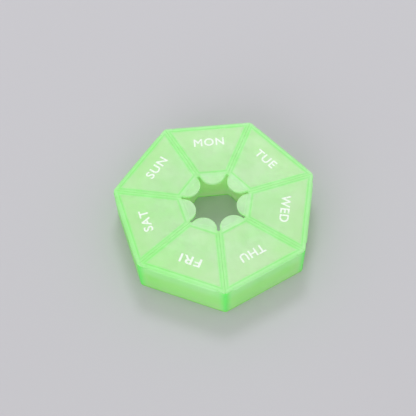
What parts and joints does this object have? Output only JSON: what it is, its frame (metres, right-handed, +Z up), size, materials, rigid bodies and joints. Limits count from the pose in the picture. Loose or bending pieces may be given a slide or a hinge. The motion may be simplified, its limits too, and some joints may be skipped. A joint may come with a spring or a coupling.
{
  "type": "seven-day pill box",
  "caption": "Heptagonal ring-shaped weekly pill box with hinged lids, thumb tabs over an open middle, in translucent green plastic.",
  "frame": {"origin": "middle of the footprint, on the surface that the box stands on", "axes": "+Z up through the lids, +Y square to the outer side of the first day (Monday), whose lid is the farthest in +Y; the days run clockwise seen from above"},
  "size_m": [0.0888, 0.087, 0.0188],
  "materials": {
    "tray_plastic": "satin translucent green",
    "lid_plastic": "satin translucent green, thinner and paler",
    "hinge_plastic": "satin translucent green, polished by bending"
  },
  "bodies": {
    "tray": {"tray": "tray_plastic", "hinge_mon": "hinge_plastic", "hinge_tue": "hinge_plastic", "hinge_wed": "hinge_plastic", "hinge_thu": "hinge_plastic", "hinge_fri": "hinge_plastic", "hinge_sat": "hinge_plastic", "hinge_sun": "hinge_plastic"},
    "lid_mon": {"lid_mon": "lid_plastic"},
    "lid_tue": {"lid_tue": "lid_plastic"},
    "lid_wed": {"lid_wed": "lid_plastic"},
    "lid_thu": {"lid_thu": "lid_plastic"},
    "lid_fri": {"lid_fri": "lid_plastic"},
    "lid_sat": {"lid_sat": "lid_plastic"},
    "lid_sun": {"lid_sun": "lid_plastic"}
  },
  "joints": [
    {"name": "lid_mon_hinge", "type": "hinge", "parent": "tray", "child": "lid_mon", "pos_m": [0, 0.04381, 0.01775], "axis": [-1, 0, 0], "range_deg": [0, 180], "deforming": ["hinge_mon"]},
    {"name": "lid_tue_hinge", "type": "hinge", "parent": "tray", "child": "lid_tue", "pos_m": [0.03269, 0.02807, 0.01775], "axis": [-0.6235, 0.7818, 0], "range_deg": [0, 180], "deforming": ["hinge_tue"]},
    {"name": "lid_wed_hinge", "type": "hinge", "parent": "tray", "child": "lid_wed", "pos_m": [0.04076, -0.0073, 0.01775], "axis": [0.2225, 0.9749, 0], "range_deg": [0, 180], "deforming": ["hinge_wed"]},
    {"name": "lid_thu_hinge", "type": "hinge", "parent": "tray", "child": "lid_thu", "pos_m": [0.01814, -0.03566, 0.01775], "axis": [0.901, 0.4339, 0], "range_deg": [0, 180], "deforming": ["hinge_thu"]},
    {"name": "lid_fri_hinge", "type": "hinge", "parent": "tray", "child": "lid_fri", "pos_m": [-0.01814, -0.03566, 0.01775], "axis": [0.901, -0.4339, 0], "range_deg": [0, 180], "deforming": ["hinge_fri"]},
    {"name": "lid_sat_hinge", "type": "hinge", "parent": "tray", "child": "lid_sat", "pos_m": [-0.04076, -0.0073, 0.01775], "axis": [0.2225, -0.9749, 0], "range_deg": [0, 180], "deforming": ["hinge_sat"]},
    {"name": "lid_sun_hinge", "type": "hinge", "parent": "tray", "child": "lid_sun", "pos_m": [-0.03269, 0.02807, 0.01775], "axis": [-0.6235, -0.7818, 0], "range_deg": [0, 180], "deforming": ["hinge_sun"]}
  ]
}
